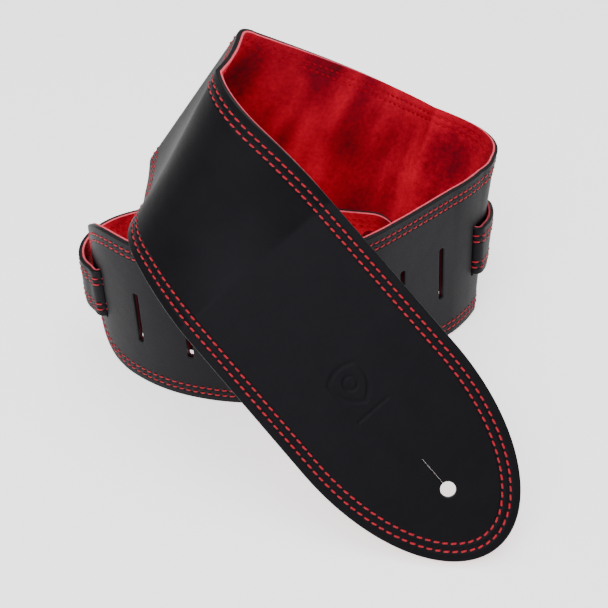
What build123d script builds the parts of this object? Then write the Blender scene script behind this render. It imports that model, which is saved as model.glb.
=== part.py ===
"""Leather guitar strap, coiled, with its adjusting tail woven through the slots."""
import os
from math import ceil, cos, radians, sin, sqrt

from build123d import *

os.makedirs("parts", exist_ok=True)

# Wide strap
STRAP_WIDTH = 89.0
FACE_THICKNESS = 2.0
LINING_THICKNESS = 0.95
GLUE_GAP = 0.05
TOTAL_THICKNESS = FACE_THICKNESS + GLUE_GAP + LINING_THICKNESS
FRONT_LENGTH = 164.0
TIP_LENGTH = 80.0

# How the coiled part lies, from its rear end: length, bend towards the lining, twist
COIL_START = (-102.5, 41.9, 44.7)
COIL_HEADING = -89.0
COIL_PATH = (
    (36, 41, 1),
    (50, 33, 0),
    (100, 55, -3),
    (50, 3, -3),
    (25, 17, 2),
    (15, 35, 6),
    (56, 107, 43),
    (84, -3, -25),
    (46, -4, -14),
    (13, 82, 1),
    (25, -8, 3),
    (16, -2, 3),
    (36, 64, -18),
    (40, 4, -21),
)
COIL_LENGTH = sum(row[0] for row in COIL_PATH)

# Slots that the tail is woven through
SLOT_COUNT = 10
SLOT_PITCH = 28.6
FIRST_SLOT = 26.5
SLOT_LENGTH = 31.0
SLOT_DROP = 1.5
SLOT_WIDTH = 4.6

# Narrow tail
TAIL_WIDTH = 29.0
TAIL_OFFSET = 4.2
WEAVE_RADIUS = 2.6
TAIL_START = 300.0
TAIL_LEAVES = 23.0
LOOP_PATH = (
    (5, -15, 0),
    (9, 29, 0),
    (17, 35, 0),
    (25, 40, 0),
)
TAIL_END_PATH = (
    (44, 44, 0),
    (56, -25, 0),
    (15, 20, 0),
)
TAIL_END_LENGTH = 150.0

# Button holes and the key slits cut from them
HOLE_RADIUS = 3.5
HOLE_FROM_TIP = 33.5
TAIL_HOLE_FROM_TIP = 15.0
SLIT_LENGTH = 14.0
SLIT_WIDTH = 0.9

# Stitching
OUTER_ROW = 4.5
INNER_ROW = 8.1
THREAD_WIDTH = 1.0
THREAD_HEIGHT = 0.4
THREAD_LIFT = 0.12

STEP = 2.0
LOFT_RUN = 10
JOINT_GAP = 0.15
HALF_WIDTH = STRAP_WIDTH / 2
HALF_TAIL = TAIL_WIDTH / 2
HALF_THICKNESS = TOTAL_THICKNESS / 2
FACE_MIDDLE = -HALF_THICKNESS + FACE_THICKNESS / 2
LINING_MIDDLE = HALF_THICKNESS - LINING_THICKNESS / 2
NEEDLE_MIDDLE = -HALF_THICKNESS - THREAD_LIFT - THREAD_HEIGHT / 2
BOBBIN_MIDDLE = -NEEDLE_MIDDLE


def walk(place, length, bend, twist):
    """Move along the strap: x runs along it, y points to the lining, z across it."""
    steps = ceil(length / STEP)
    half = Pos(length / steps / 2, 0, 0)
    turn = Rot(0, 0, bend / steps) * Rot(twist / steps, 0, 0)
    for _ in range(steps):
        place = place * half * turn * half
    return place


def follow(start, path, distance):
    """The place reached after a distance along a path, straight on past its end."""
    place = start
    left = distance
    for length, bend, twist in path:
        share = min(left, length) / length
        if share > 0:
            place = walk(place, length * share, bend * share, twist * share)
            left -= length * share
    return place * Pos(left, 0, 0)


def marks(path, begin, end):
    """Distances along a path, closer together where it bends more."""
    found = [begin]
    total = 0.0
    for length, bend, twist in path:
        count = max(ceil(abs(bend) / 6), ceil(abs(twist) / 2), ceil(length / 18))
        for number in range(1, count + 1):
            mark = total + length * number / count
            if begin + 0.5 < mark < end - 0.5:
                found.append(mark)
        total += length
    found.append(end)
    return found


def crosswise(place):
    """Section plane at a place: its x points to the lining, its y across the strap."""
    here = Plane(place)
    return Plane(origin=here.origin, x_dir=here.y_dir, z_dir=here.x_dir)


def lengthwise(place):
    """Plane of the strap at a place: its x runs along the strap, its z to the face."""
    here = Plane(place)
    return Plane(origin=here.origin, x_dir=here.x_dir, z_dir=-here.y_dir)


def section(place, middle, thickness, width):
    """A flat section across the strap at a place."""
    with BuildSketch(crosswise(place)) as cut:
        with Locations((middle, 0)):
            Rectangle(thickness, width)
    return cut.sketch


def sweep_sections(places, middle, thickness, widths):
    """Loft flat sections through a row of places, a few at a time, into the part."""
    pairs = zip(places, widths)
    sections = [section(place, middle, thickness, width) for place, width in pairs]
    for begin in range(0, len(sections) - 1, LOFT_RUN):
        loft(sections[begin : begin + LOFT_RUN + 1], ruled=True)


def sweep_thread(places, middle):
    """Loft one flat row of thread through a row of places inside the current part."""
    sweep_sections(places, middle, THREAD_HEIGHT, [THREAD_WIDTH] * len(places))


START = Pos(*COIL_START) * Rot(0, 0, COIL_HEADING)


def on_coil(distance):
    return follow(START, COIL_PATH, distance)


# Places along the coil. Its rear end is a half circle.
rounding = [HALF_WIDTH * (1 - cos(radians(angle))) for angle in range(12, 77, 8)]
coil_marks = rounding + [m for m in marks(COIL_PATH, 0, COIL_LENGTH) if m > HALF_WIDTH - 8]
coil_marks[-1] = COIL_LENGTH - JOINT_GAP / 2
coil_places = [on_coil(mark) for mark in coil_marks]
coil_widths = [2 * sqrt(HALF_WIDTH**2 - max(HALF_WIDTH - mark, 0) ** 2) for mark in coil_marks]
slot_marks = [FIRST_SLOT + SLOT_PITCH * number for number in range(SLOT_COUNT)]


def coil_ply(middle, thickness):
    """One ply of the coiled part, with the slots cut through it."""
    sweep_sections(coil_places, middle, thickness, coil_widths)
    for mark in slot_marks:
        with Locations(on_coil(mark) * Pos(0, 0, -SLOT_DROP)):
            Box(SLOT_WIDTH, 12, SLOT_LENGTH, mode=Mode.SUBTRACT)


with BuildPart() as strap_face:
    coil_ply(FACE_MIDDLE, FACE_THICKNESS)

with BuildPart() as strap_lining:
    coil_ply(LINING_MIDDLE, LINING_THICKNESS)


def coil_row(inset):
    """Places along one row of stitches: up one edge, round the rear end, back again."""
    reach = HALF_WIDTH - inset
    side = marks(COIL_PATH, HALF_WIDTH, COIL_LENGTH)
    side[-1] = COIL_LENGTH - JOINT_GAP / 2
    going = [on_coil(mark) * Pos(0, 0, reach) * Rot(0, 180, 0) for mark in reversed(side)]
    round_end = []
    for number in range(1, 24):
        angle = 90 + 7.5 * number
        x = HALF_WIDTH + reach * cos(radians(angle))
        z = reach * sin(radians(angle))
        round_end.append(on_coil(x) * Pos(0, 0, z) * Rot(0, -90 - angle, 0))
    coming = [on_coil(mark) * Pos(0, 0, -reach) for mark in side]
    return going + round_end + coming


outer_places = coil_row(OUTER_ROW)
inner_places = coil_row(INNER_ROW)

with BuildPart() as strap_outer_needle_thread:
    sweep_thread(outer_places, NEEDLE_MIDDLE)

with BuildPart() as strap_inner_needle_thread:
    sweep_thread(inner_places, NEEDLE_MIDDLE)

with BuildPart() as strap_outer_bobbin_thread:
    sweep_thread(outer_places, BOBBIN_MIDDLE)

with BuildPart() as strap_inner_bobbin_thread:
    sweep_thread(inner_places, BOBBIN_MIDDLE)


# Front end: flat from here to the rounded tip
FRONT_START = on_coil(COIL_LENGTH)
front_plane = lengthwise(FRONT_START)


def front_outline(inset, begin, mode=Mode.ADD):
    """The outline of the front end, drawn in from its edge by an inset."""
    side = FRONT_LENGTH - TIP_LENGTH
    with Locations((side, 0)):
        Ellipse(TIP_LENGTH - inset, HALF_WIDTH - inset, mode=mode)
    with Locations(((side + begin) / 2, 0)):
        Rectangle(side - begin, STRAP_WIDTH - 2 * inset, mode=mode)


def button_hole(x):
    """A round hole with a slit running back from it, with a round end."""
    with Locations((x, 0)):
        Circle(HOLE_RADIUS, mode=Mode.SUBTRACT)
    with Locations((x - HOLE_RADIUS - SLIT_LENGTH / 2, 0)):
        SlotOverall(SLIT_LENGTH + 2, SLIT_WIDTH, mode=Mode.SUBTRACT)


def front_ply(middle, thickness):
    """One ply of the front end."""
    with BuildSketch(front_plane.offset(-middle)) as outline:
        front_outline(0, JOINT_GAP / 2)
        with Locations((-200, 0)):
            Rectangle(400 + JOINT_GAP, 200, mode=Mode.SUBTRACT)
        button_hole(FRONT_LENGTH - HOLE_FROM_TIP)
    extrude(outline.sketch, amount=thickness / 2, both=True)


def front_row(inset, middle):
    """One row of stitches round the front end, open at the rear."""
    with BuildSketch(front_plane.offset(-middle)) as outline:
        front_outline(inset - THREAD_WIDTH / 2, -20)
        front_outline(inset + THREAD_WIDTH / 2, -30, Mode.SUBTRACT)
        with Locations((-200, 0)):
            Rectangle(400 + JOINT_GAP, 200, mode=Mode.SUBTRACT)
    extrude(outline.sketch, amount=THREAD_HEIGHT / 2, both=True)


with BuildPart() as front_face:
    front_ply(FACE_MIDDLE, FACE_THICKNESS)

with BuildPart() as front_lining:
    front_ply(LINING_MIDDLE, LINING_THICKNESS)

with BuildPart() as front_outer_needle_thread:
    front_row(OUTER_ROW, NEEDLE_MIDDLE)

with BuildPart() as front_inner_needle_thread:
    front_row(INNER_ROW, NEEDLE_MIDDLE)

with BuildPart() as front_outer_bobbin_thread:
    front_row(OUTER_ROW, BOBBIN_MIDDLE)

with BuildPart() as front_inner_bobbin_thread:
    front_row(INNER_ROW, BOBBIN_MIDDLE)


# Tail: it travels back along the coil, so its x is reversed and its z points down
def on_tail(mark, offset, turn):
    """A place on the woven tail, beside the coil, turned by an angle."""
    return on_coil(mark) * Pos(0, offset, -SLOT_DROP) * Rot(0, 180, 0) * Rot(0, 0, turn)


def pass_slot(mark, side):
    """Places through a slot, leaving the side given: 1 for inside, -1 for outside."""
    straight = TAIL_OFFSET - WEAVE_RADIUS
    found = []
    for number in range(5):
        angle = 22.5 * number
        x = mark + WEAVE_RADIUS * (1 - sin(radians(angle)))
        offset = straight + WEAVE_RADIUS * cos(radians(angle))
        found.append(on_tail(x, side * offset, -side * angle))
    for number in range(5):
        angle = 90 - 22.5 * number
        x = mark - WEAVE_RADIUS * (1 - sin(radians(angle)))
        offset = straight + WEAVE_RADIUS * cos(radians(angle))
        found.append(on_tail(x, -side * offset, -side * angle))
    return found


def run_beside(begin, end, offset):
    """Places beside the coil between two marks, from the larger to the smaller."""
    between = marks(COIL_PATH, end, begin)[1:-1]
    return [on_tail(mark, offset, 0) for mark in reversed(between)]


s10 = slot_marks[9]
s9 = slot_marks[8]
s1 = slot_marks[0]
w = WEAVE_RADIUS + 0.5
tail_places = [on_tail(TAIL_START, TAIL_OFFSET, 0)]
tail_places += run_beside(TAIL_START, s10 + w, TAIL_OFFSET)
tail_places += pass_slot(s10, 1)
tail_places += run_beside(s10 - w, s9 + w, -TAIL_OFFSET)
tail_places += pass_slot(s9, -1)
tail_places += run_beside(s9 - w, s1 + w, TAIL_OFFSET)
tail_places += pass_slot(s1, 1)

LOOP_START = on_tail(TAIL_LEAVES, -TAIL_OFFSET, 0)
LOOP_LENGTH = sum(row[0] for row in LOOP_PATH)
for mark in marks(LOOP_PATH, 0, LOOP_LENGTH - JOINT_GAP / 2):
    tail_places.append(follow(LOOP_START, LOOP_PATH, mark))

END_START = follow(LOOP_START, LOOP_PATH, LOOP_LENGTH)
END_CURVE = sum(row[0] for row in TAIL_END_PATH)
end_marks = marks(TAIL_END_PATH, JOINT_GAP / 2, END_CURVE)
end_places = [follow(END_START, TAIL_END_PATH, mark) for mark in end_marks]
END_TIP_START = follow(END_START, TAIL_END_PATH, END_CURVE)
tip_plane = lengthwise(END_TIP_START)
tip_straight = TAIL_END_LENGTH - END_CURVE - HALF_TAIL


def tail_ply(middle, thickness):
    """One ply of the woven tail."""
    sweep_sections(tail_places, middle, thickness, [TAIL_WIDTH] * len(tail_places))


def tail_end_ply(middle, thickness):
    """One ply of the tail's free end, curved and then flat to its round tip."""
    sweep_sections(end_places, middle, thickness, [TAIL_WIDTH] * len(end_places))
    with BuildSketch(tip_plane.offset(-middle)) as outline:
        with Locations((tip_straight / 2, 0)):
            Rectangle(tip_straight, TAIL_WIDTH)
        with Locations((tip_straight, 0)):
            Circle(HALF_TAIL)
        button_hole(tip_straight + HALF_TAIL - TAIL_HOLE_FROM_TIP)
    extrude(outline.sketch, amount=thickness / 2, both=True)


def tail_rows(places, inset, middle):
    """One row of stitches along each edge of the tail."""
    for side in (-1, 1):
        reach = side * (HALF_TAIL - inset)
        sweep_thread([place * Pos(0, 0, reach) for place in places], middle)


def tail_end_rows(inset, middle):
    """The stitches along the free end, joined by a half ring round its tip."""
    tail_rows(end_places, inset, middle)
    reach = HALF_TAIL - inset
    with BuildSketch(tip_plane.offset(-middle)) as outline:
        with Locations((tip_straight / 2, 0)):
            Rectangle(tip_straight, 2 * reach + THREAD_WIDTH)
        with Locations((tip_straight, 0)):
            Circle(reach + THREAD_WIDTH / 2)
        with Locations((tip_straight / 2 - 1, 0)):
            Rectangle(tip_straight + 2, 2 * reach - THREAD_WIDTH, mode=Mode.SUBTRACT)
        with Locations((tip_straight, 0)):
            Circle(reach - THREAD_WIDTH / 2, mode=Mode.SUBTRACT)
    extrude(outline.sketch, amount=THREAD_HEIGHT / 2, both=True)


with BuildPart() as tail_face:
    tail_ply(FACE_MIDDLE, FACE_THICKNESS)

with BuildPart() as tail_lining:
    tail_ply(LINING_MIDDLE, LINING_THICKNESS)

with BuildPart() as tail_outer_needle_thread:
    tail_rows(tail_places, OUTER_ROW, NEEDLE_MIDDLE)

with BuildPart() as tail_inner_needle_thread:
    tail_rows(tail_places, INNER_ROW, NEEDLE_MIDDLE)

with BuildPart() as tail_outer_bobbin_thread:
    tail_rows(tail_places, OUTER_ROW, BOBBIN_MIDDLE)

with BuildPart() as tail_inner_bobbin_thread:
    tail_rows(tail_places, INNER_ROW, BOBBIN_MIDDLE)

with BuildPart() as tail_end_face:
    tail_end_ply(FACE_MIDDLE, FACE_THICKNESS)

with BuildPart() as tail_end_lining:
    tail_end_ply(LINING_MIDDLE, LINING_THICKNESS)

with BuildPart() as tail_end_outer_needle_thread:
    tail_end_rows(OUTER_ROW, NEEDLE_MIDDLE)

with BuildPart() as tail_end_inner_needle_thread:
    tail_end_rows(INNER_ROW, NEEDLE_MIDDLE)

with BuildPart() as tail_end_outer_bobbin_thread:
    tail_end_rows(OUTER_ROW, BOBBIN_MIDDLE)

with BuildPart() as tail_end_inner_bobbin_thread:
    tail_end_rows(INNER_ROW, BOBBIN_MIDDLE)


strap_face.part.label = "strap_face"
export_step(strap_face.part, "parts/strap_face.step")
strap_lining.part.label = "strap_lining"
export_step(strap_lining.part, "parts/strap_lining.step")
strap_outer_needle_thread.part.label = "strap_outer_needle_thread"
export_step(strap_outer_needle_thread.part, "parts/strap_outer_needle_thread.step")
strap_inner_needle_thread.part.label = "strap_inner_needle_thread"
export_step(strap_inner_needle_thread.part, "parts/strap_inner_needle_thread.step")
strap_outer_bobbin_thread.part.label = "strap_outer_bobbin_thread"
export_step(strap_outer_bobbin_thread.part, "parts/strap_outer_bobbin_thread.step")
strap_inner_bobbin_thread.part.label = "strap_inner_bobbin_thread"
export_step(strap_inner_bobbin_thread.part, "parts/strap_inner_bobbin_thread.step")
front_face.part.label = "front_face"
export_step(front_face.part, "parts/front_face.step")
front_lining.part.label = "front_lining"
export_step(front_lining.part, "parts/front_lining.step")
front_outer_needle_thread.part.label = "front_outer_needle_thread"
export_step(front_outer_needle_thread.part, "parts/front_outer_needle_thread.step")
front_inner_needle_thread.part.label = "front_inner_needle_thread"
export_step(front_inner_needle_thread.part, "parts/front_inner_needle_thread.step")
front_outer_bobbin_thread.part.label = "front_outer_bobbin_thread"
export_step(front_outer_bobbin_thread.part, "parts/front_outer_bobbin_thread.step")
front_inner_bobbin_thread.part.label = "front_inner_bobbin_thread"
export_step(front_inner_bobbin_thread.part, "parts/front_inner_bobbin_thread.step")
tail_face.part.label = "tail_face"
export_step(tail_face.part, "parts/tail_face.step")
tail_lining.part.label = "tail_lining"
export_step(tail_lining.part, "parts/tail_lining.step")
tail_outer_needle_thread.part.label = "tail_outer_needle_thread"
export_step(tail_outer_needle_thread.part, "parts/tail_outer_needle_thread.step")
tail_inner_needle_thread.part.label = "tail_inner_needle_thread"
export_step(tail_inner_needle_thread.part, "parts/tail_inner_needle_thread.step")
tail_outer_bobbin_thread.part.label = "tail_outer_bobbin_thread"
export_step(tail_outer_bobbin_thread.part, "parts/tail_outer_bobbin_thread.step")
tail_inner_bobbin_thread.part.label = "tail_inner_bobbin_thread"
export_step(tail_inner_bobbin_thread.part, "parts/tail_inner_bobbin_thread.step")
tail_end_face.part.label = "tail_end_face"
export_step(tail_end_face.part, "parts/tail_end_face.step")
tail_end_lining.part.label = "tail_end_lining"
export_step(tail_end_lining.part, "parts/tail_end_lining.step")
tail_end_outer_needle_thread.part.label = "tail_end_outer_needle_thread"
export_step(tail_end_outer_needle_thread.part, "parts/tail_end_outer_needle_thread.step")
tail_end_inner_needle_thread.part.label = "tail_end_inner_needle_thread"
export_step(tail_end_inner_needle_thread.part, "parts/tail_end_inner_needle_thread.step")
tail_end_outer_bobbin_thread.part.label = "tail_end_outer_bobbin_thread"
export_step(tail_end_outer_bobbin_thread.part, "parts/tail_end_outer_bobbin_thread.step")
tail_end_inner_bobbin_thread.part.label = "tail_end_inner_bobbin_thread"
export_step(tail_end_inner_bobbin_thread.part, "parts/tail_end_inner_bobbin_thread.step")
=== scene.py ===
"""Looks of the coiled guitar strap: leather, suede lining, cut edges and stitches."""

import math

import bmesh
import bpy
import numpy as np
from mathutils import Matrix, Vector
from mathutils.geometry import delaunay_2d_cdt


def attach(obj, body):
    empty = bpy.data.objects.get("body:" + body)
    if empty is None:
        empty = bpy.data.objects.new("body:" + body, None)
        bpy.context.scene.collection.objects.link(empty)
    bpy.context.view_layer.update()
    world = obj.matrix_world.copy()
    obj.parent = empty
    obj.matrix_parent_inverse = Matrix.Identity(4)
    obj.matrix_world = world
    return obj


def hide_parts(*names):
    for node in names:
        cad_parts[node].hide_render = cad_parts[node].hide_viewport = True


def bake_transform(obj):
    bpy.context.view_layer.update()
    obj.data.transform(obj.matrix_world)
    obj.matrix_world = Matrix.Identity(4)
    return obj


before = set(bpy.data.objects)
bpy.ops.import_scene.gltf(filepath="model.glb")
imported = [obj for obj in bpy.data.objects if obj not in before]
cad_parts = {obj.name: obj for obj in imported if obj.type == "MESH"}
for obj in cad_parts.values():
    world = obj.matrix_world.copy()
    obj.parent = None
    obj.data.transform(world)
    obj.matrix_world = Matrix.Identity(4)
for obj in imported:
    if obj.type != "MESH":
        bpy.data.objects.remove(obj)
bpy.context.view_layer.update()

MM = 0.001
rng = np.random.default_rng(7)

# Dimensions, the same as the CAD part's, in millimetres and degrees. Path rows are
# (length, bend, twist).
WIDTH = 89.0
HALF = WIDTH / 2
FRONT = 164.0
TIP = 80.0
COIL_START = (-102.5, 41.9, 44.7)
COIL_HEADING = -89.0
COIL_PATH = (
    (36, 41, 1),
    (50, 33, 0),
    (100, 55, -3),
    (50, 3, -3),
    (25, 17, 2),
    (15, 35, 6),
    (56, 107, 43),
    (84, -3, -25),
    (46, -4, -14),
    (13, 82, 1),
    (25, -8, 3),
    (16, -2, 3),
    (36, 64, -18),
    (40, 4, -21),
)
COIL = sum(row[0] for row in COIL_PATH)
LENGTH = COIL + FRONT
SLOTS = [26.5 + 28.6 * k for k in range(10)]
DROP = 1.5
TAIL_HALF = 14.5
ROWS = (4.5, 8.1)
OFFSET = 4.2
WEAVE = 2.6
TAIL_FROM = 300.0
TAIL_LEAVES = 23.0
LOOP_PATH = ((5, -15, 0), (9, 29, 0), (17, 35, 0), (25, 40, 0))
END_PATH = ((44, 44, 0), (56, -25, 0), (15, 20, 0))
END_LENGTH = 150.0
SLOT_LENGTH = 31.0
SLOT_CORNER = 1.1
HOLE_RADIUS = 3.5
HOLE_FROM_TIP = 33.5
TAIL_HOLE_FROM_TIP = 15.0
SLIT = 14.0
PITCH = 3.8
STITCH = 3.1

# Depths from the middle of the thickness: the black surface, the glue and the red surface
OUT = -1.5
MID = 0.5
IN = 1.5

# Sizes of the meshes: steps along an edge and across a ply, and how far a hole is felt
EDGE_STEP = 2.0
TAIL_EDGE_STEP = 1.2
HOLE_REACH = 26.0


# ---------------------------------------------------------------- where the strap runs
def rot(axis, angle):
    c, s = math.cos(math.radians(angle)), math.sin(math.radians(angle))
    if axis == "x":
        return np.array([[1, 0, 0], [0, c, -s], [0, s, c]])
    if axis == "y":
        return np.array([[c, 0, s], [0, 1, 0], [-s, 0, c]])
    return np.array([[c, -s, 0], [s, c, 0], [0, 0, 1]])


class Track:
    """Frames along a strap: x runs along it, y points to the lining, z across it."""

    def __init__(self, at, turn):
        self.s = [0.0]
        self.at = [np.array(at, float)]
        self.turn = [np.array(turn, float)]

    def walk(self, length, bend=0.0, twist=0.0, step=2.0):
        n = max(1, math.ceil(length / step))
        r = rot("z", bend / n) @ rot("x", twist / n)
        h = length / n
        for _ in range(n):
            m = self.turn[-1]
            p = self.at[-1] + m[:, 0] * h / 2
            m = m @ r
            p = p + m[:, 0] * h / 2
            self.s.append(self.s[-1] + h)
            self.at.append(p)
            self.turn.append(m)

    def add(self, at, turn):
        """One more frame, unless it lies where the last one does."""
        gap = np.linalg.norm(at - self.at[-1])
        if gap >= 0.05:
            self.s.append(self.s[-1] + gap)
            self.at.append(at)
            self.turn.append(turn)

    def done(self):
        self.s = np.array(self.s)
        self.at = np.array(self.at)
        self.turn = np.array(self.turn)
        return self

    def frames(self, s):
        s = np.asarray(s, float)
        i = np.clip(np.searchsorted(self.s, s) - 1, 0, len(self.s) - 2)
        f = ((s - self.s[i]) / (self.s[i + 1] - self.s[i]))[:, None]
        at = self.at[i] * (1 - f) + self.at[i + 1] * f
        g = np.clip(f, 0, 1)[:, :, None]
        turn = self.turn[i] * (1 - g) + self.turn[i + 1] * g
        return at, turn

    def point(self, s, v, n):
        at, turn = self.frames(s)
        y = turn[:, :, 1] / np.linalg.norm(turn[:, :, 1], axis=1)[:, None]
        z = turn[:, :, 2] / np.linalg.norm(turn[:, :, 2], axis=1)[:, None]
        return at + y * np.asarray(n, float)[:, None] + z * np.asarray(v, float)[:, None]

    def skin(self, s, v, n):
        """Points and the directions along, across and out of the surface at them."""
        s, v, n = (np.asarray(x, float) for x in (s, v, n))
        p = self.point(s, v, n)
        e = 0.4
        along = self.point(s + e, v, n) - self.point(s - e, v, n)
        across = self.point(s, v + e, n) - self.point(s, v - e, n)
        along /= np.linalg.norm(along, axis=1)[:, None]
        across /= np.linalg.norm(across, axis=1)[:, None]
        out = np.cross(across, along)
        out /= np.linalg.norm(out, axis=1)[:, None]
        return p, along, across, out


main = Track(COIL_START, rot("z", COIL_HEADING))
for arc in COIL_PATH:
    main.walk(*arc)
main.walk(FRONT + 20)
main.done()


def flat_run(first, last, depth):
    """Stations of the tail lying flat on the strap: (mark along the strap, depth, turn)."""
    return [(mark, depth, 0.0) for mark in np.arange(first, last, -1.0)]


def through_slot(mark, side):
    """Stations through a slot: a quarter turn into it and a quarter turn out of it."""
    stations = []
    steps = np.linspace(0, 90, 9)
    for way, angles in ((1, steps), (-1, steps[::-1])):
        for a in angles:
            r = math.radians(a)
            depth = OFFSET - WEAVE + WEAVE * math.cos(r)
            stations.append((mark + way * WEAVE * (1 - math.sin(r)), way * side * depth, -side * a))
    return stations


def tail_track():
    """The tail: back along the coil, through three slots, round its end and inside."""
    stations = flat_run(TAIL_FROM, SLOTS[9] + WEAVE, OFFSET)
    stations += through_slot(SLOTS[9], 1)
    stations += flat_run(SLOTS[9] - WEAVE - 1, SLOTS[8] + WEAVE, -OFFSET)
    stations += through_slot(SLOTS[8], -1)
    stations += flat_run(SLOTS[8] - WEAVE - 1, SLOTS[0] + WEAVE, OFFSET)
    stations += through_slot(SLOTS[0], 1)
    stations += flat_run(SLOTS[0] - WEAVE - 1, TAIL_LEAVES - 0.1, -OFFSET)
    at, turn = main.frames([row[0] for row in stations])
    track = None
    for p, m, (_, depth, a) in zip(at, turn, stations):
        q = p + m[:, 1] * depth - m[:, 2] * DROP
        facing = m @ rot("y", 180) @ rot("z", a)
        if track:
            track.add(q, facing)
        else:
            track = Track(q, facing)
    return track


tail = tail_track()
for arc in LOOP_PATH:
    tail.walk(*arc)
TAIL_HINGE = tail.s[-1]
for arc in END_PATH:
    tail.walk(*arc)
tail.walk(END_LENGTH - sum(row[0] for row in END_PATH) + 20)
tail.done()
TAIL_TIP = TAIL_HINGE + END_LENGTH
STRAP_SEAM = COIL - 22.0
TAIL_SEAM = TAIL_HINGE - 14.0


# ------------------------------------------------------------- outlines on the flat strap
def spaced(a, b, gap):
    n = max(2, int(round(abs(b - a) / gap)) + 1)
    return np.linspace(a, b, n)


def turned(cx, cy, rx, ry, first, last, count):
    """Points of an arc between two angles, without its two ends."""
    angles = np.linspace(first, last, count)[1:-1]
    return [(cx + rx * math.cos(a), cy + ry * math.sin(a)) for a in angles]


def crossing(s, w, first, last, count):
    """Points on a line across the strap, without its two ends."""
    return [(s, t * w) for t in np.linspace(first, last, count)[1:-1]]


def rear_outline(d):
    """The coil's outline drawn in by d: rounded rear end, straight cut at the seam.
    Each outline is a closed loop and the number of its points that lie on the seam."""
    w = HALF - d
    up = [(s, w) for s in spaced(STRAP_SEAM, HALF, EDGE_STEP)]
    arc = turned(HALF, 0, w, w, math.pi / 2, 1.5 * math.pi, 73)
    down = [(s, -w) for s in spaced(HALF, STRAP_SEAM, EDGE_STEP)]
    seam = crossing(STRAP_SEAM, w, -1, 1, 37)
    return np.array(up + arc + down + seam), len(seam)


def ellipse_point(a, d):
    """A point of the front tip's ellipse, moved in along its normal by d."""
    x, y = TIP * math.cos(a), HALF * math.sin(a)
    nx, ny = HALF * math.cos(a), TIP * math.sin(a)
    r = math.hypot(nx, ny)
    return (LENGTH - TIP + x - d * nx / r, y - d * ny / r)


def front_outline(d):
    """The front end's outline drawn in by d: straight cut at the seam, rounded tip."""
    w = HALF - d
    down = [(s, -w) for s in spaced(STRAP_SEAM, LENGTH - TIP, EDGE_STEP)]
    arc = [ellipse_point(a, d) for a in np.linspace(-math.pi / 2, math.pi / 2, 91)[1:-1]]
    up = [(s, w) for s in spaced(LENGTH - TIP, STRAP_SEAM, EDGE_STEP)]
    seam = crossing(STRAP_SEAM, w, 1, -1, 37)
    return np.array(down + arc + up + seam), len(seam)


def tail_woven_outline(d):
    """The woven part of the tail, drawn in by d."""
    w = TAIL_HALF - d
    reach = d + (TAIL_SEAM - d) * spaced(0, 1, TAIL_EDGE_STEP / TAIL_SEAM)
    up = [(s, w) for s in reach[::-1]]
    start = crossing(d, w, 1, -1, 13)
    down = [(s, -w) for s in reach]
    seam = crossing(TAIL_SEAM, w, -1, 1, 13)
    return np.array(up + start + down + seam), len(seam)


def tail_end_outline(d):
    """The tail's free end with its round tip, drawn in by d."""
    w = TAIL_HALF - d
    centre = TAIL_TIP - TAIL_HALF
    down = [(s, -w) for s in spaced(TAIL_SEAM, centre, EDGE_STEP)]
    arc = turned(centre, 0, w, w, -math.pi / 2, math.pi / 2, 41)
    up = [(s, w) for s in spaced(centre, TAIL_SEAM, EDGE_STEP)]
    seam = crossing(TAIL_SEAM, w, 1, -1, 13)
    return np.array(down + arc + up + seam), len(seam)


def row_line(outline, inset):
    """The open line along an outline's edge, drawn in, without the seam."""
    loop, seam = outline(inset)
    return loop[: len(loop) - seam]


def slot_loop(mark, width, length):
    """A slot with rounded corners, as a function of how far it is drawn outwards."""

    def loop(d):
        r = SLOT_CORNER + d
        hw, hl = width / 2 + d, length / 2 + d
        points = []
        for cx, cy, a0 in ((1, 1, 0), (-1, 1, 90), (-1, -1, 180), (1, -1, 270)):
            for a in np.radians(np.linspace(a0, a0 + 90, 6)):
                x = mark + cx * (hw - r) + r * math.cos(a)
                points.append((x, cy * (hl - r) + r * math.sin(a) - DROP))
            if cx * cy < 0:
                reach = np.linspace(cy, -cy, 15)[1:-1] * (hl - r)
                points.extend((mark + cx * hw, y - DROP) for y in reach)
        return np.array(points)

    return loop


def keyhole_loop(x, half):
    """A round hole with a slit running back from it, drawn outwards by d."""

    def loop(d):
        r, h = HOLE_RADIUS + d, half + d
        a = math.asin(h / r)
        angles = np.linspace(-math.pi + a, math.pi - a, 40)
        circle = [(x + r * math.cos(t), r * math.sin(t)) for t in angles]
        end = x - HOLE_RADIUS - SLIT
        start = x - math.sqrt(r * r - h * h)
        top = [(s, h) for s in np.linspace(start, end, 12)[1:-1]]
        angles = np.linspace(math.pi / 2, 1.5 * math.pi, 7)
        cap = [(end + h * math.cos(t), h * math.sin(t)) for t in angles]
        bottom = [(s, -h) for s in np.linspace(end, start, 12)[1:-1]]
        return np.array(circle + top + cap + bottom)

    return loop


def inside(points, loop):
    """Whether each point lies inside a closed loop."""
    x, y = points[:, 0], points[:, 1]
    hit = np.zeros(len(points), bool)
    for (x1, y1), (x2, y2) in zip(loop, np.roll(loop, -1, axis=0)):
        if y1 != y2:
            hit ^= ((y1 > y) != (y2 > y)) & (x < (x2 - x1) * (y - y1) / (y2 - y1) + x1)
    return hit


def nearness(points, loop):
    """Distance from each point to a closed loop."""
    best = np.full(len(points), 1e9)
    for a, b in zip(loop, np.roll(loop, -1, axis=0)):
        ab = b - a
        t = np.clip(((points - a) @ ab) / max(ab @ ab, 1e-12), 0, 1)
        best = np.minimum(best, np.linalg.norm(points - a - t[:, None] * ab, axis=1))
    return best


# ------------------------------------------------------------------------ the pressed mark
MARK_AT = (LENGTH - 97.0, -2.0)
MARK_REACH = (19.0, 14.0)
MARK_GAP = 0.45
MARK_DEPTH = 0.22


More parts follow.
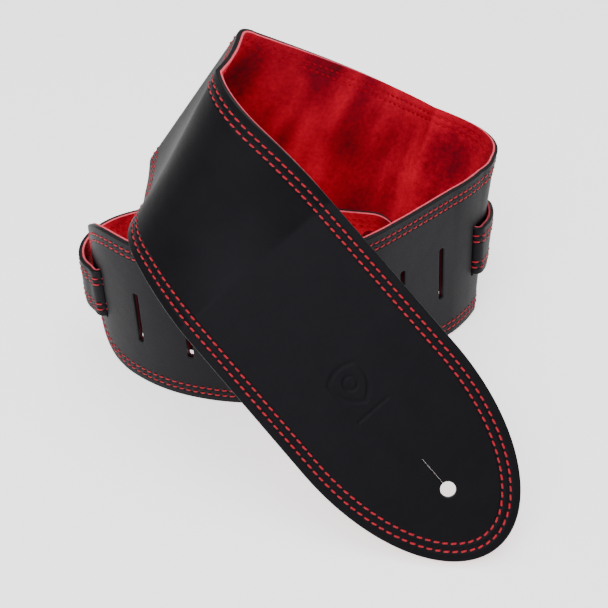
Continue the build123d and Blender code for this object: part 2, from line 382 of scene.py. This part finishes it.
def pressed(s, v):
    """Depth of a plain pressed plectrum outline with a bar under it, in millimetres."""
    x = v - MARK_AT[1]
    y = MARK_AT[0] - s
    far = np.full(len(x), -1e9)
    for a in np.radians((90, 210, 330)):
        far = np.maximum(far, x * math.cos(a) * 1.08 + y * math.sin(a))
    body = np.sqrt(x**2 * 1.1 + y**2) * 0.62 + far * 0.38
    ring = np.abs(body - 8.2) - 0.9
    inner = np.abs(np.hypot(x, y) - 3.2) - 0.6
    bar = np.maximum(np.abs(y + 15.5) - 0.7, np.abs(x) - 9.0)
    gap = np.minimum(np.minimum(ring, inner), bar)
    return MARK_DEPTH / (1 + np.exp(np.clip(gap * 7, -40, 40)))


def marked_skin(track, flat, n):
    """Points of the surface with the mark pressed in, and the way out of it there."""
    s, v = flat.T
    e = 0.25
    slope_s = (pressed(s + e, v) - pressed(s - e, v)) / (2 * e)
    slope_v = (pressed(s, v + e) - pressed(s, v - e)) / (2 * e)
    p, along, across, up = track.skin(s, v, n + pressed(s, v))
    up = up - along * slope_s[:, None] - across * slope_v[:, None]
    return p, up / np.linalg.norm(up, axis=1)[:, None]


# --------------------------------------------------------------------------- ply meshes
def mesh_grid(first, second):
    a, b = np.meshgrid(first, second, indexing="ij")
    return np.stack([a.ravel(), b.ravel()], 1)


def filling(loops, gap, mark):
    """Points that fill a flat outline with holes, closer together round the mark."""
    edge, holes = loops[0], loops[1:]
    corners = np.concatenate(loops)
    low, high = corners.min(0), corners.max(0)
    rows, columns = (np.arange(low[i] + gap / 2, high[i], gap) for i in (0, 1))
    grid = mesh_grid(rows, columns)
    grid[:, 1] += (np.arange(len(rows)) % 2 * gap / 4).repeat(len(columns))
    if mark:
        away = np.abs(grid - np.array(MARK_AT))
        grid = grid[(away > np.array(MARK_REACH) - 0.5).any(1)]
        fine = mesh_grid(*(np.arange(-r, r + 0.01, MARK_GAP) for r in MARK_REACH))
        grid = np.concatenate([grid, fine + np.array(MARK_AT)])
    near = gap * 0.55
    keep = inside(grid, edge)
    keep[keep] &= nearness(grid[keep], edge) > near
    for hole in holes:
        close = np.where(keep & (np.linalg.norm(grid - hole.mean(0), axis=1) < HOLE_REACH))[0]
        keep[close[inside(grid[close], hole) | (nearness(grid[close], hole) < near)]] = False
    return grid[keep]


def triangulate(loops, grid):
    """Triangles over a flat outline with holes: their points, which of those points each
    corner of the loops became, and the triangles."""
    corners = np.concatenate(loops)
    edges = []
    base = 0
    for count in map(len, loops):
        edges += [(base + i, base + (i + 1) % count) for i in range(count)]
        base += count
    flat = [Vector(p) for p in np.concatenate([corners, grid])]
    got = delaunay_2d_cdt(flat, edges, [], 2, 1e-6)
    points = np.array([tuple(v) for v in got[0]])
    became = {source: i for i, sources in enumerate(got[3]) for source in sources}
    triangles = np.array([f for f in got[2] if len(f) == 3])
    centre = points[triangles].mean(1)
    good = inside(centre, loops[0])
    for hole in loops[1:]:
        close = np.where(good & (np.linalg.norm(centre - hole.mean(0), axis=1) < HOLE_REACH))[0]
        good[close[inside(centre[close], hole)]] = False
    return points, np.array([became[i] for i in range(len(corners))]), triangles[good]


def edge_waved(flat, depth, wave):
    """Depths at flat points, a little uneven along the strap's two long edges."""
    s, v = flat.T
    ripple = np.sin(s * 0.31 + 1.3) * np.sin(s * 0.117)
    return depth + wave * ripple * (np.abs(v) > HALF - 6)


def walls(rings, lens):
    """The faces between each ring of points and the next, with their material slots."""
    faces, slots = [], []
    for level, (a, b) in enumerate(zip(rings, rings[1:])):
        base = 0
        for number in lens:
            for i in range(number):
                p, q = base + i, base + (i + 1) % number
                faces.append((a[p], a[q], b[q], b[p]))
                slots.append(min(level, 1))
            base += number
    return faces, slots


def face_outwards(face, points, normals):
    """The face with its corners in the order that makes it look along its normals."""
    a, b, c = (points[i] for i in face[:3])
    across = np.cross(c - a, points[face[3]] - b) if len(face) == 4 else np.cross(b - a, c - a)
    return face if across @ normals[face].sum(0) > 0 else face[::-1]


def unit(rows):
    """Each row at length 1, or zero where it has hardly any."""
    size = np.linalg.norm(rows, axis=1)[:, None]
    return np.where(size > 1e-6, rows / np.maximum(size, 1e-6), 0)


def ply(name, track, outline, holes, rings, materials, gap, mark=False, wave=0.0):
    """One closed ply. rings run from the shown surface over the edge to the hidden one:
    (drawn in by, depth, how far the normal leans out), and the last is the hidden surface."""
    levels = [[outline(d)[0]] + [hole(d) for hole in holes] for d, _, _ in rings]
    flat, became, triangles = triangulate(levels[0], filling(levels[0], gap, mark))
    shown, hidden = rings[0][1], rings[-1][1]
    sign = -1.0 if shown < hidden else 1.0
    n = edge_waved(flat, shown, wave)
    p, up = marked_skin(track, flat, n) if mark else track.skin(*flat.T, n)[::3]
    points, normals, flats, ids = [p], [up * sign], [flat], [became]
    count = len(flat)
    full = np.concatenate([outline(0.0)[0]] + [hole(0.0) for hole in holes])
    outwards = unit(full - np.concatenate(levels[0]))
    for level, (_, depth, lean) in zip(levels[1:-1], rings[1:-1]):
        ring = np.concatenate(level)
        p, along, across, up = track.skin(*ring.T, edge_waved(ring, depth, wave))
        side = along * outwards[:, :1] + across * outwards[:, 1:]
        lean = math.radians(lean)
        points.append(p)
        normals.append(unit(up * sign * math.cos(lean) + side * math.sin(lean)))
        flats.append(ring)
        ids.append(np.arange(count, count + len(ring)))
        count += len(ring)
    back = flat.copy()
    back[became] = np.concatenate(levels[-1])
    p, _, _, up = track.skin(*back.T, np.full(len(back), hidden))
    points.append(p)
    normals.append(-up * sign)
    flats.append(back)
    ids.append(became + count)
    faces, slots = walls(ids, [len(loop) for loop in levels[0]])
    faces = [*triangles, *(triangles + count), *faces]
    slots = [0] * len(triangles) + [1] * len(triangles) + slots
    points, normals, flats = (np.concatenate(rows) for rows in (points, normals, flats))
    points = points * MM
    faces = [face_outwards([int(i) for i in face], points, normals) for face in faces]
    mesh = bpy.data.meshes.new(name)
    mesh.from_pydata(points.tolist(), [], faces)
    mesh.polygons.foreach_set("material_index", np.array(slots, np.int32))
    mesh.polygons.foreach_set("use_smooth", np.ones(len(faces), bool))
    set_uv(mesh, "flat", flats * MM)
    rim = mesh.attributes.new("rim", "FLOAT", "POINT")
    rim.data.foreach_set("value", nearness(flats, OPEN_EDGE[outline]).astype(np.float32))
    mesh.normals_split_custom_set_from_vertices(normals.tolist())
    return placed(name, mesh, materials)


def set_uv(mesh, name, places):
    """A UV map with one place for each vertex."""
    vertex = np.zeros(len(mesh.loops), np.int32)
    mesh.loops.foreach_get("vertex_index", vertex)
    mesh.uv_layers.new(name=name).data.foreach_set("uv", np.array(places)[vertex].ravel())


def placed(name, mesh, materials):
    for m in materials:
        mesh.materials.append(m)
    obj = bpy.data.objects.new(name, mesh)
    bpy.context.scene.collection.objects.link(obj)
    return obj


# ------------------------------------------------------------------------------ stitches
STITCH_AROUND = 8
STITCH_ALONG = 7
STITCH_WIDE = 0.49
STITCH_HIGH = 0.3


def stitch_row(name, track, line, depth, side, colour):
    """Stitches along a line on the flat strap. side is -1 on the face and 1 on the lining."""
    run = np.concatenate([[0], np.cumsum(np.linalg.norm(np.diff(line, axis=0), axis=1))])
    number = int(run[-1] // PITCH)
    step = run[-1] / number
    t = np.linspace(-1, 1, STITCH_ALONG)
    taper = np.sqrt(np.clip(1 - np.abs(t) ** 3.2, 0, 1)) * 0.92 + 0.08
    rise = (1 - t**4) * 0.34 - 0.26
    verts, faces, twist = [], [], []
    for k in range(number):
        length = STITCH * (1 + rng.uniform(-0.04, 0.04))
        at = np.clip((k + 0.5) * step + t * length / 2, 0, run[-1])
        s = np.interp(at, run, line[:, 0])
        v = np.interp(at, run, line[:, 1])
        ds, dv = s[-1] - s[0], v[-1] - v[0]
        r = math.hypot(ds, dv) or 1.0
        px, py = -dv / r, ds / r
        slant = t * 0.16 + rng.uniform(-0.05, 0.05)
        p, along, across, up = track.skin(s + px * slant, v + py * slant, depth + side * rise)
        sideways = along * px + across * py
        first = len(verts)
        for i in range(STITCH_ALONG):
            for j in range(STITCH_AROUND):
                a = 2 * math.pi * j / STITCH_AROUND
                wide = sideways[i] * math.cos(a) * STITCH_WIDE
                high = up[i] * side * math.sin(a) * STITCH_HIGH
                verts.append(p[i] + (wide + high) * taper[i])
                twist.append(((t[i] * 0.5 + 0.5) * length * MM + k, j / STITCH_AROUND))
        for i in range(STITCH_ALONG - 1):
            for j in range(STITCH_AROUND):
                a = first + i * STITCH_AROUND + j
                b = first + i * STITCH_AROUND + (j + 1) % STITCH_AROUND
                faces.append((a, b, b + STITCH_AROUND, a + STITCH_AROUND))
        faces.append(tuple(range(first, first + STITCH_AROUND))[::-1])
        faces.append(tuple(range(len(verts) - STITCH_AROUND, len(verts))))
    mesh = bpy.data.meshes.new(name)
    mesh.from_pydata((np.array(verts) * MM).tolist(), [], faces)
    mesh.polygons.foreach_set("use_smooth", np.ones(len(faces), bool))
    edit = bmesh.new()
    edit.from_mesh(mesh)
    bmesh.ops.recalc_face_normals(edit, faces=edit.faces)
    edit.to_mesh(mesh)
    edit.free()
    set_uv(mesh, "twist", twist)
    return placed(name, mesh, [colour])


# ----------------------------------------------------------------------------- materials
def material(name, build):
    """A material whose shader is filled in by build(tree, shader)."""
    m = bpy.data.materials.new(name)
    m.use_nodes = True
    tree = m.node_tree
    tree.nodes.clear()
    shader = tree.nodes.new("ShaderNodeBsdfPrincipled")
    end = tree.nodes.new("ShaderNodeOutputMaterial")
    tree.links.new(shader.outputs[0], end.inputs[0])
    build(tree, shader)
    return m


def node(tree, kind, **values):
    """A shader node with its inputs and settings by name."""
    n = tree.nodes.new("ShaderNode" + kind)
    for key, value in values.items():
        if key in n.inputs:
            n.inputs[key].default_value = value
        else:
            setattr(n, key, value)
    return n


def noise(tree, vector, scale, detail=3.0, rough=0.55):
    n = node(tree, "TexNoise", Scale=scale, Detail=detail, Roughness=rough)
    tree.links.new(vector, n.inputs["Vector"])
    return n.outputs["Fac"]


def ramp(tree, value, low, high, a=0.0, b=1.0):
    """The value mapped from low..high to a..b."""
    n = node(tree, "MapRange")
    n.inputs["From Min"].default_value = low
    n.inputs["From Max"].default_value = high
    n.inputs["To Min"].default_value = a
    n.inputs["To Max"].default_value = b
    tree.links.new(value, n.inputs["Value"])
    return n.outputs["Result"]


def maths(tree, operation, a, b):
    n = node(tree, "Math", operation=operation)
    for i, x in enumerate((a, b)):
        if isinstance(x, (int, float)):
            n.inputs[i].default_value = x
        else:
            tree.links.new(x, n.inputs[i])
    return n.outputs[0]


def colours(tree, value, stops):
    """A colour ramp with (position, colour) stops."""
    n = node(tree, "ValToRGB")
    band = n.color_ramp
    while len(band.elements) < len(stops):
        band.elements.new(0.5)
    for e, (pos, colour) in zip(band.elements, stops):
        e.position = pos
        e.color = (*colour, 1)
    tree.links.new(value, n.inputs["Fac"])
    return n.outputs["Color"]


def mixed(tree, factor, tone, colour):
    """tone where the factor is 0, and a plain colour where it is 1."""
    n = node(tree, "Mix", data_type="RGBA")
    tree.links.new(factor, n.inputs["Factor"])
    tree.links.new(tone, n.inputs[6])
    n.inputs[7].default_value = (*colour, 1)
    return n.outputs[2]


def bump(tree, shader, height, strength, distance, after=None):
    n = node(tree, "Bump", Strength=strength, Distance=distance)
    tree.links.new(height, n.inputs["Height"])
    if after is not None:
        tree.links.new(after, n.inputs["Normal"])
    tree.links.new(n.outputs[0], shader.inputs["Normal"])
    return n.outputs[0]


def flat_vector(tree):
    """Places on the flat strap, in metres."""
    return node(tree, "UVMap", uv_map="flat").outputs[0]


def rim_value(tree):
    """Distance from the strap's edge, in millimetres."""
    return node(tree, "Attribute", attribute_name="rim").outputs["Fac"]


def stitch_line(tree):
    """1 on the rows of stitches, 0 away from them."""
    rim = rim_value(tree)
    outer, inner = (maths(tree, "ABSOLUTE", maths(tree, "SUBTRACT", rim, at), 0.0) for at in ROWS)
    return ramp(tree, maths(tree, "MINIMUM", outer, inner), 1.3, 0.0)


def leather(tree, shader):
    shader.inputs["Specular IOR Level"].default_value = 0.12
    shader.inputs["Specular Tint"].default_value = (0.86, 0.88, 1.0, 1)
    v = flat_vector(tree)
    grain = node(tree, "TexVoronoi", feature="DISTANCE_TO_EDGE", Scale=1500.0)
    tree.links.new(v, grain.inputs["Vector"])
    cells = ramp(tree, grain.outputs["Distance"], 0.0, 0.25)
    fine = noise(tree, v, 900.0, 4.0, 0.6)
    broad = noise(tree, v, 55.0)
    height = maths(tree, "ADD", maths(tree, "MULTIPLY", cells, 0.35), maths(tree, "MULTIPLY", fine, 0.65))
    line = stitch_line(tree)
    first = bump(tree, shader, height, 0.16, 0.0002)
    second = bump(tree, shader, maths(tree, "MULTIPLY", line, -1.0), 0.6, 0.0006, first)
    bump(tree, shader, broad, 0.25, 0.0012, second)
    tone = colours(tree, broad, [(0.25, (0.0020, 0.0018, 0.0023)), (0.75, (0.0038, 0.0035, 0.0044))])
    tree.links.new(tone, shader.inputs["Base Color"])
    rough = maths(tree, "ADD", ramp(tree, fine, 0.2, 0.8, 0.44, 0.56), maths(tree, "MULTIPLY", broad, 0.08))
    tree.links.new(rough, shader.inputs["Roughness"])


def burnished(tree, shader):
    """The black leather's painted edge."""
    shader.inputs["Base Color"].default_value = (0.007, 0.006, 0.007, 1)
    shader.inputs["Specular IOR Level"].default_value = 0.25
    v = flat_vector(tree)
    f = noise(tree, v, 700.0, 3.0)
    tree.links.new(ramp(tree, f, 0.2, 0.8, 0.42, 0.62), shader.inputs["Roughness"])
    bump(tree, shader, f, 0.3, 0.0002)


def suede(tree, shader):
    v = flat_vector(tree)
    broad = noise(tree, v, 28.0, 4.0, 0.55)
    nap = noise(tree, v, 420.0, 5.0, 0.7)
    fibre = noise(tree, v, 2600.0, 4.0, 0.7)
    stretch = node(tree, "Mapping")
    stretch.inputs["Scale"].default_value = (1.0, 0.28, 1.0)
    tree.links.new(v, stretch.inputs["Vector"])
    # Stretched fold noise: it bumps the suede and also darkens its colour along the folds, which is painted
    # shade in the creases.
    fold_bumps_and_shade = noise(tree, stretch.outputs[0], 34.0, 2.0, 0.45)
    mottle = maths(tree, "ADD", maths(tree, "MULTIPLY", broad, 0.32), maths(tree, "MULTIPLY", nap, 0.18))
    # broad and nap are the suede's own mottling; the fold term adds painted fold shade to the colour.
    mottle_and_fold_shade = maths(tree, "ADD", mottle, maths(tree, "MULTIPLY", fold_bumps_and_shade, 0.5))
    tone = colours(
        tree,
        mottle_and_fold_shade,
        [(0.39, (0.10, 0.0008, 0.006)), (0.5, (0.40, 0.0015, 0.017)), (0.62, (0.74, 0.003, 0.032))],
    )
    tree.links.new(tone, shader.inputs["Base Color"])
    shader.inputs["Roughness"].default_value = 0.95
    shader.inputs["Specular IOR Level"].default_value = 0.12
    shader.inputs["Sheen Weight"].default_value = 0.1
    shader.inputs["Sheen Roughness"].default_value = 0.5
    shader.inputs["Sheen Tint"].default_value = (1.0, 0.12, 0.14, 1)
    line = stitch_line(tree)
    first = bump(tree, shader, fibre, 0.5, 0.0003)
    second = bump(tree, shader, nap, 0.35, 0.0006, first)
    third = bump(tree, shader, maths(tree, "ADD", broad, fold_bumps_and_shade), 0.6, 0.005, second)
    bump(tree, shader, maths(tree, "MULTIPLY", line, -1.0), 0.5, 0.0008, third)


def cut_edge(tree, shader):
    """The lining's cut edge: pink on the outer rim, with painted shade making it dark inside the slots and
    holes.
    """
    v = flat_vector(tree)
    f = noise(tree, v, 1500.0, 4.0, 0.65)
    tone = colours(tree, f, [(0.3, (0.74, 0.055, 0.09)), (0.7, (0.88, 0.15, 0.20))])
    # Painted shade: away from the outer rim, inside the slots and holes, the cut edge is mixed to near
    # black.
    away = ramp(tree, rim_value(tree), 1.5, 4.0)
    tree.links.new(mixed(tree, away, tone, (0.07, 0.003, 0.010)), shader.inputs["Base Color"])
    shader.inputs["Roughness"].default_value = 0.9
    shader.inputs["Specular IOR Level"].default_value = 0.2
    bump(tree, shader, f, 0.4, 0.0003)


def thread(light, dark, rough, gloss):
    """Twisted thread, with its tones, roughness and gloss."""

    def build(tree, shader):
        uv = node(tree, "UVMap", uv_map="twist")
        split = node(tree, "SeparateXYZ")
        tree.links.new(uv.outputs[0], split.inputs[0])
        along = maths(tree, "MULTIPLY", split.outputs[0], 5200.0)
        around = maths(tree, "MULTIPLY", split.outputs[1], 2 * math.pi)
        wave = maths(tree, "SINE", maths(tree, "ADD", along, around), 0.0)
        place = node(tree, "TexCoord")
        f = noise(tree, place.outputs["Object"], 1800.0, 3.0)
        tree.links.new(colours(tree, f, [(0.3, dark), (0.7, light)]), shader.inputs["Base Color"])
        shader.inputs["Roughness"].default_value = rough
        shader.inputs["Specular IOR Level"].default_value = gloss
        bump(tree, shader, maths(tree, "ADD", maths(tree, "MULTIPLY", wave, 0.5), f), 0.45, 0.00015)

    return build


black = material("black_leather", leather)
edge_black = material("burnished_edge", burnished)
red = material("red_suede", suede)
edge_red = material("lining_edge", cut_edge)
red_thread = material("red_thread", thread((0.44, 0.008, 0.024), (0.28, 0.004, 0.012), 0.62, 0.3))
dull_thread = material("dull_red_thread", thread((0.42, 0.002, 0.016), (0.30, 0.001, 0.010), 0.9, 0.08))

# ---------------------------------------------------------------------------- the pieces
FACE_RINGS = (
    (0.7, OUT, 0),
    (0.3, OUT + 0.08, 30),
    (0.06, OUT + 0.36, 68),
    (0.0, OUT + 0.7, 90),
    (0.0, 0.3, 90),
    (0.6, MID, 90),
)
LINING_RINGS = (
    (0.45, IN, 0),
    (0.15, IN - 0.06, 35),
    (0.02, IN - 0.25, 75),
    (0.02, 0.42, 90),
    (0.62, MID + 0.05, 90),
)

strap_edge = np.concatenate([row_line(rear_outline, 0.0), row_line(front_outline, 0.0)])
tail_edge = np.concatenate([[(0.0, TAIL_HALF), (0.0, -TAIL_HALF)], row_line(tail_end_outline, 0.0)])
OPEN_EDGE = {
    rear_outline: strap_edge,
    front_outline: strap_edge,
    tail_woven_outline: tail_edge,
    tail_end_outline: tail_edge,
}


def holes_of(slot_widths, slot_length, half):
    """The holes in each stretch of a ply: slots with and without the tail, and keyholes."""
    threaded, empty = slot_widths
    widths = [threaded if k in (0, 8, 9) else empty for k in range(len(SLOTS))]
    return {
        "coil": [slot_loop(mark, width, slot_length) for mark, width in zip(SLOTS, widths)],
        "front": [keyhole_loop(LENGTH - HOLE_FROM_TIP, half)],
        "woven": [],
        "end": [keyhole_loop(TAIL_TIP - TAIL_HOLE_FROM_TIP, half)],
    }


face_holes = holes_of((4.4, 3.2), SLOT_LENGTH, 0.11)
lining_holes = holes_of((4.2, 2.4), SLOT_LENGTH - 0.6, 0.03)


def on(track, s):
    return tuple(track.point([s], [0.0], [0.0])[0] * MM)


FRONT_SLAB = (on(main, COIL - 18.0), on(main, COIL + 26.0))
TAIL_SLAB = (on(tail, TAIL_HINGE - 12.0), on(tail, TAIL_HINGE + 24.0))


class Stretch:
    """A stretch of the strap or of its tail, between a free end and a seam."""

    def __init__(self, kind, place, node_name, track, outline, gap, moving=None, slab=None):
        self.kind, self.place, self.node_name = kind, place, node_name
        self.track, self.outline, self.gap = track, outline, gap
        self.moving, self.slab = moving, slab

    def put(self, obj, node_name):
        """Hand a mesh over for the node it replaces, riding on the coil's body or, when it moves, with its
        transform baked in.
        """
        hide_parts(node_name)
        if self.moving:
            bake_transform(obj)
        else:
            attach(obj, "coil")

    def leather_ply(self):
        name = f"{self.kind}_face_{self.place}"
        obj = ply(name, self.track, self.outline, face_holes[self.place], FACE_RINGS,
                  [black, edge_black], self.gap, mark=self.place == "front")
        self.put(obj, f"{self.node_name}_face")

    def suede_ply(self):
        name = f"{self.kind}_lining_{self.place}"
        wave = 0.12 if self.kind == "strap" else 0.0
        obj = ply(name, self.track, self.outline, lining_holes[self.place], LINING_RINGS,
                  [red, edge_red], self.gap, wave=wave)
        self.put(obj, f"{self.node_name}_lining")

    def stitches(self, row, inset, kind, side, depth, colour):
        prefix = "tail_" if self.kind == "tail" else ""
        name = f"{prefix}stitches_{row}_{kind}_{self.place}"
        obj = stitch_row(name, self.track, row_line(self.outline, inset), depth, side, colour)
        self.put(obj, f"{self.node_name}_{row}_{kind}_thread")


stretches = (
    Stretch("strap", "coil", "strap", main, rear_outline, 2.4),
    Stretch("strap", "front", "front", main, front_outline, 2.4, "front_end", FRONT_SLAB),
    Stretch("tail", "woven", "tail", tail, tail_woven_outline, 1.2),
    Stretch("tail", "end", "tail_end", tail, tail_end_outline, 2.0, "tail_end", TAIL_SLAB),
)
for stretch in stretches:
    stretch.leather_ply()
    stretch.suede_ply()
THREADS = (("needle", -1, OUT, red_thread), ("bobbin", 1, IN - 0.12, dull_thread))
for row, inset in zip(("outer", "inner"), ROWS):
    for kind, side, depth, colour in THREADS:
        for stretch in stretches:
            stretch.stitches(row, inset, kind, side, depth, colour)

# ------------------------------------------------------------------- floor, light, camera
bpy.ops.mesh.primitive_plane_add(size=8, location=(0, 0, 0))
floor = bpy.context.object
floor.name = "floor"


def paper(tree, shader):
    shader.inputs["Base Color"].default_value = (0.93, 0.93, 0.93, 1)
    shader.inputs["Roughness"].default_value = 0.9
    shader.inputs["Specular IOR Level"].default_value = 0.1
    shader.inputs["Emission Color"].default_value = (1, 1, 1, 1)
    shader.inputs["Emission Strength"].default_value = 1.4


floor.data.materials.append(material("white_paper", paper))

world = bpy.data.worlds.new("studio")
bpy.context.scene.world = world
world.use_nodes = True
world.node_tree.nodes["Background"].inputs["Color"].default_value = (1, 1, 1, 1)
world.node_tree.nodes["Background"].inputs["Strength"].default_value = 0.36


def lamp(name, at, target, size, power):
    data = bpy.data.lights.new(name, "AREA")
    data.shape = "RECTANGLE"
    data.size, data.size_y = size
    data.energy = power
    obj = bpy.data.objects.new(name, data)
    bpy.context.scene.collection.objects.link(obj)
    obj.location = at
    obj.rotation_euler = (Vector(target) - Vector(at)).to_track_quat("-Z", "Y").to_euler()
    return obj


lamp("overhead", (0.1, 0.1, 1.3), (0, 0, 0.05), (1.2, 1.0), 13)
lamp("key", (-0.45, -0.85, 1.1), (0, 0, 0.08), (0.9, 0.9), 14)

camera = bpy.data.cameras.new("camera")
camera.sensor_width = 36
camera.lens = 68.655
camera.clip_start = 0.01
camera.clip_end = 20
eye = bpy.data.objects.new("camera", camera)
bpy.context.scene.collection.objects.link(eye)
TILT = math.radians(39.456)
DISTANCE = 0.65405
eye.location = (0.0065, 0.0589 - DISTANCE * math.cos(TILT), 0.0002 + DISTANCE * math.sin(TILT))
eye.rotation_euler = (math.pi / 2 - TILT, 0, 0)
bpy.context.scene.camera = eye
